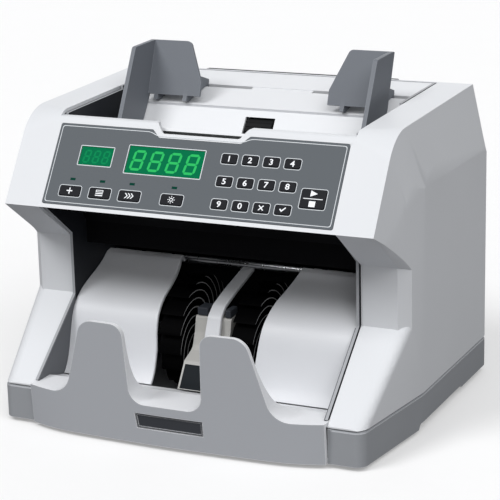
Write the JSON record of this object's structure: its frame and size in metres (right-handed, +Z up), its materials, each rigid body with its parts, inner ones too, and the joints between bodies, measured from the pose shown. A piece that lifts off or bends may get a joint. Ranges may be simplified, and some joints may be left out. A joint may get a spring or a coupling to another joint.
{
  "type": "banknote_counting_machine",
  "caption": "Desktop banknote counting machine with a top hopper, a sloping front keypad panel and a lower note pocket with vaned stacker wheels",
  "frame": {"origin": "centre of the bounding box footprint, on the desk under the rubber feet", "axes": "+X to the right seen from the front, +Y from the front towards the rear, +Z up"},
  "size_m": [0.29, 0.2415, 0.2456],
  "materials": {
    "housing_plastic": "textured",
    "base_plastic": "textured",
    "tray_plastic": "textured",
    "dark_plastic": "textured",
    "hopper_plastic": "smooth",
    "facia_film": "smooth",
    "key_rubber": "smooth",
    "display_acrylic": "gloss",
    "frame_steel": "smooth",
    "bright_steel": "brushed",
    "bush_bronze": "smooth",
    "black_rubber": "matte",
    "handle_plastic": "textured",
    "badge_plastic": "gloss",
    "board_laminate": "gloss",
    "motor_metal": "smooth",
    "supply_metal": "smooth"
  },
  "bodies": {
    "chassis": {"base_tray": "base_plastic", "chassis_screws": "bright_steel", "display_windows": "display_acrylic", "drive_belts": "black_rubber", "drive_motor": "motor_metal", "front_tray": "tray_plastic", "hopper_back_plate": "hopper_plastic", "hopper_feed_plate": "hopper_plastic", "indicator_lenses": "display_acrylic", "keypad_overlay": "facia_film", "main_board": "board_laminate", "name_badge": "badge_plastic", "note_chute": "dark_plastic", "panel_board": "board_laminate", "power_inlet": "dark_plastic", "power_supply": "supply_metal", "rear_handle": "handle_plastic", "rear_panel": "frame_steel", "rubber_feet": "black_rubber", "sensor_block": "dark_plastic", "sensor_window": "display_acrylic", "shaft_bushes": "bush_bronze", "side_frame_left": "frame_steel", "side_frame_right": "frame_steel", "stacker_panel_left": "tray_plastic", "stacker_panel_right": "tray_plastic", "stacker_rib": "tray_plastic", "throat_plate": "hopper_plastic", "tie_rods": "bright_steel", "upper_housing": "housing_plastic"},
    "power_rocker": {"power_rocker": "dark_plastic"},
    "guide_left": {"hopper_guide_left": "dark_plastic"},
    "guide_right": {"hopper_guide_right": "dark_plastic"},
    "guide_pinion": {"guide_pinion": "dark_plastic"},
    "feed": {"feed_shaft": "bright_steel", "feed_rollers": "black_rubber"},
    "kicker": {"kicker_shaft": "bright_steel", "kicker_roller": "black_rubber"},
    "retard": {"retard_roller": "black_rubber"},
    "stacker": {"stacker_shaft": "bright_steel", "stacker_wheel_left": "black_rubber", "stacker_wheel_right": "black_rubber"},
    "motor_rotor": {"motor_pulley": "motor_metal"},
    "key_0": {"key_0": "key_rubber"},
    "key_1": {"key_1": "key_rubber"},
    "key_2": {"key_2": "key_rubber"},
    "key_3": {"key_3": "key_rubber"},
    "key_4": {"key_4": "key_rubber"},
    "key_5": {"key_5": "key_rubber"},
    "key_6": {"key_6": "key_rubber"},
    "key_7": {"key_7": "key_rubber"},
    "key_8": {"key_8": "key_rubber"},
    "key_9": {"key_9": "key_rubber"},
    "key_add": {"key_add": "key_rubber"},
    "key_batch": {"key_batch": "key_rubber"},
    "key_clear": {"key_clear": "key_rubber"},
    "key_lamp": {"key_lamp": "key_rubber"},
    "key_set": {"key_set": "key_rubber"},
    "key_speed": {"key_speed": "key_rubber"},
    "key_start_stop": {"key_start_stop": "key_rubber"}
  },
  "joints": [
    {"name": "key_0_press", "type": "slide", "parent": "chassis", "child": "key_0", "axis": [0, 0.8348, -0.5505], "range_m": [0, 0.0008], "stiffness_N_per_m": 400},
    {"name": "key_1_press", "type": "slide", "parent": "chassis", "child": "key_1", "axis": [0, 0.8348, -0.5505], "range_m": [0, 0.0008], "stiffness_N_per_m": 400},
    {"name": "key_2_press", "type": "slide", "parent": "chassis", "child": "key_2", "axis": [0, 0.8348, -0.5505], "range_m": [0, 0.0008], "stiffness_N_per_m": 400},
    {"name": "key_3_press", "type": "slide", "parent": "chassis", "child": "key_3", "axis": [0, 0.8348, -0.5505], "range_m": [0, 0.0008], "stiffness_N_per_m": 400},
    {"name": "key_4_press", "type": "slide", "parent": "chassis", "child": "key_4", "axis": [0, 0.8348, -0.5505], "range_m": [0, 0.0008], "stiffness_N_per_m": 400},
    {"name": "key_5_press", "type": "slide", "parent": "chassis", "child": "key_5", "axis": [0, 0.8348, -0.5505], "range_m": [0, 0.0008], "stiffness_N_per_m": 400},
    {"name": "key_6_press", "type": "slide", "parent": "chassis", "child": "key_6", "axis": [0, 0.8348, -0.5505], "range_m": [0, 0.0008], "stiffness_N_per_m": 400},
    {"name": "key_7_press", "type": "slide", "parent": "chassis", "child": "key_7", "axis": [0, 0.8348, -0.5505], "range_m": [0, 0.0008], "stiffness_N_per_m": 400},
    {"name": "key_8_press", "type": "slide", "parent": "chassis", "child": "key_8", "axis": [0, 0.8348, -0.5505], "range_m": [0, 0.0008], "stiffness_N_per_m": 400},
    {"name": "key_9_press", "type": "slide", "parent": "chassis", "child": "key_9", "axis": [0, 0.8348, -0.5505], "range_m": [0, 0.0008], "stiffness_N_per_m": 400},
    {"name": "key_add_press", "type": "slide", "parent": "chassis", "child": "key_add", "axis": [0, 0.8348, -0.5505], "range_m": [0, 0.0008], "stiffness_N_per_m": 400},
    {"name": "key_batch_press", "type": "slide", "parent": "chassis", "child": "key_batch", "axis": [0, 0.8348, -0.5505], "range_m": [0, 0.0008], "stiffness_N_per_m": 400},
    {"name": "key_clear_press", "type": "slide", "parent": "chassis", "child": "key_clear", "axis": [0, 0.8348, -0.5505], "range_m": [0, 0.0008], "stiffness_N_per_m": 400},
    {"name": "key_lamp_press", "type": "slide", "parent": "chassis", "child": "key_lamp", "axis": [0, 0.8348, -0.5505], "range_m": [0, 0.0008], "stiffness_N_per_m": 400},
    {"name": "key_set_press", "type": "slide", "parent": "chassis", "child": "key_set", "axis": [0, 0.8348, -0.5505], "range_m": [0, 0.0008], "stiffness_N_per_m": 400},
    {"name": "key_speed_press", "type": "slide", "parent": "chassis", "child": "key_speed", "axis": [0, 0.8348, -0.5505], "range_m": [0, 0.0008], "stiffness_N_per_m": 400},
    {"name": "key_start_stop_press", "type": "slide", "parent": "chassis", "child": "key_start_stop", "axis": [0, 0.8348, -0.5505], "range_m": [0, 0.0008], "stiffness_N_per_m": 400},
    {"name": "rocker_tilt", "type": "hinge", "parent": "chassis", "child": "power_rocker", "pos_m": [-0.032, 0.11605, 0.0605], "axis": [1, 0, 0], "range_deg": [0, 14]},
    {"name": "guide_left_slide", "type": "slide", "parent": "chassis", "child": "guide_left", "axis": [1, 0, 0], "range_m": [0, 0.03]},
    {"name": "guide_right_slide", "type": "slide", "parent": "chassis", "child": "guide_right", "axis": [-1, 0, 0], "range_m": [0, 0.03]},
    {"name": "pinion_turn", "type": "hinge", "parent": "chassis", "child": "guide_pinion", "pos_m": [0, 0.08137, 0.20972], "axis": [0, -0.2239, 0.9746], "range_deg": [0, 144]},
    {"name": "feed_spin", "type": "hinge", "parent": "chassis", "child": "feed", "pos_m": [0, 0.01925, 0.16], "axis": [1, 0, 0], "continuous": true},
    {"name": "kicker_spin", "type": "hinge", "parent": "chassis", "child": "kicker", "pos_m": [0, 0.04775, 0.1829], "axis": [1, 0, 0], "continuous": true},
    {"name": "retard_spin", "type": "hinge", "parent": "chassis", "child": "retard", "pos_m": [0, -0.00775, 0.151], "axis": [1, 0, 0], "continuous": true},
    {"name": "stacker_spin", "type": "hinge", "parent": "chassis", "child": "stacker", "pos_m": [0, -0.01525, 0.0525], "axis": [1, 0, 0], "continuous": true},
    {"name": "motor_spin", "type": "hinge", "parent": "chassis", "child": "motor_rotor", "pos_m": [0, 0.07125, 0.062], "axis": [1, 0, 0], "continuous": true}
  ],
  "couplings": [
    {"joint": "guide_right_slide", "follows": "guide_left_slide", "ratio": 1},
    {"joint": "pinion_turn", "follows": "guide_left_slide", "rad_per_m": 83.333},
    {"joint": "kicker_spin", "follows": "feed_spin", "ratio": 1},
    {"joint": "motor_spin", "follows": "feed_spin", "ratio": 1.875},
    {"joint": "stacker_spin", "follows": "feed_spin", "ratio": 0.625}
  ]
}
